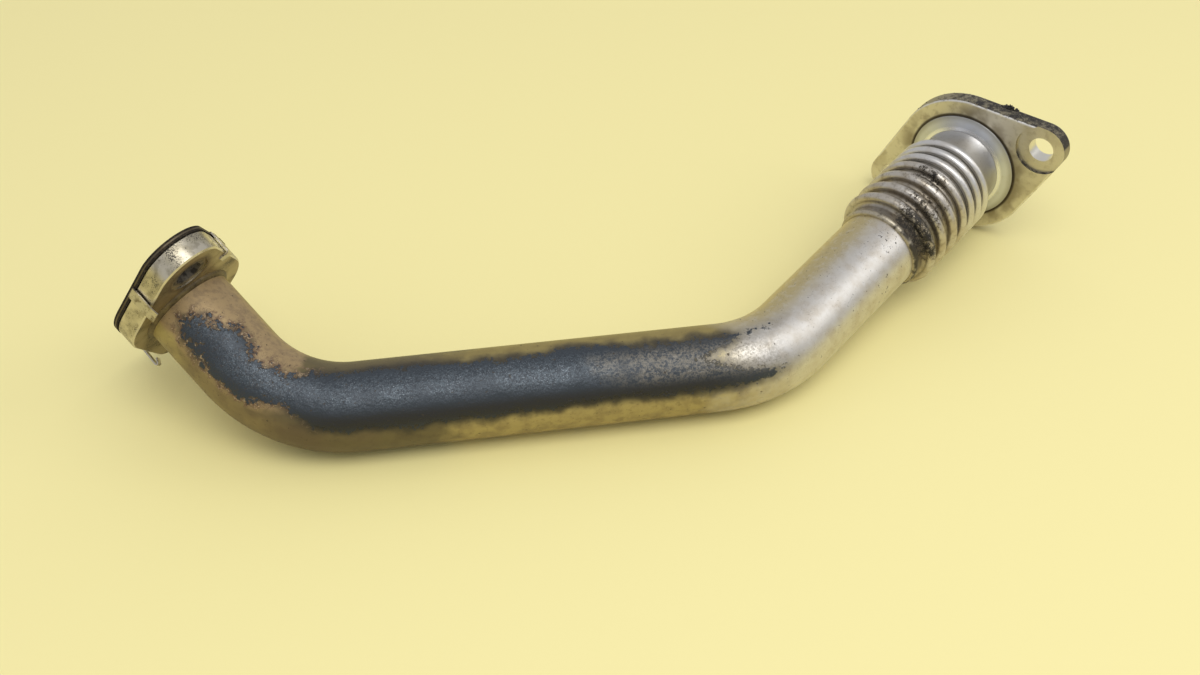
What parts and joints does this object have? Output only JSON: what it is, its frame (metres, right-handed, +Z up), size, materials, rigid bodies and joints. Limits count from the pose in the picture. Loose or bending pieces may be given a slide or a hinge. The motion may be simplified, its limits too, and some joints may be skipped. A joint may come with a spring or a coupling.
{
  "type": "egr pipe",
  "caption": "Bent exhaust gas recirculation tube with a gasketed bolt flange at one end and a metal bellows with a bolt flange at the other, used and sooty.",
  "frame": {"origin": "centre of the bounding box, on the floor it lies on", "axes": "+X along the straight run from the gasket end to the bellows end, +Y to the back, +Z up"},
  "size_m": [0.345, 0.1328, 0.0771],
  "materials": {
    "scaled_steel": "heat-scaled and rust-stained steel tube, dark in the middle and tan at the ends",
    "flange_steel": "dull stained steel plate",
    "weld_steel": "sooty weld bead",
    "gasket_facing": "matt black graphite facing",
    "gasket_steel": "thin bright sheet",
    "bellows_steel": "satin stainless steel with soot stains"
  },
  "bodies": {
    "root": {"main_pipe": "scaled_steel", "gasket_flange": "flange_steel", "gasket_flange_weld": "weld_steel", "gasket_inner_facing": "gasket_facing", "gasket_core": "gasket_steel", "gasket_outer_facing": "gasket_facing", "bellows": "bellows_steel", "bellows_weld": "weld_steel", "dished_collar": "bellows_steel", "bellows_flange": "flange_steel", "bellows_flange_weld": "weld_steel"}
  },
  "joints": []
}
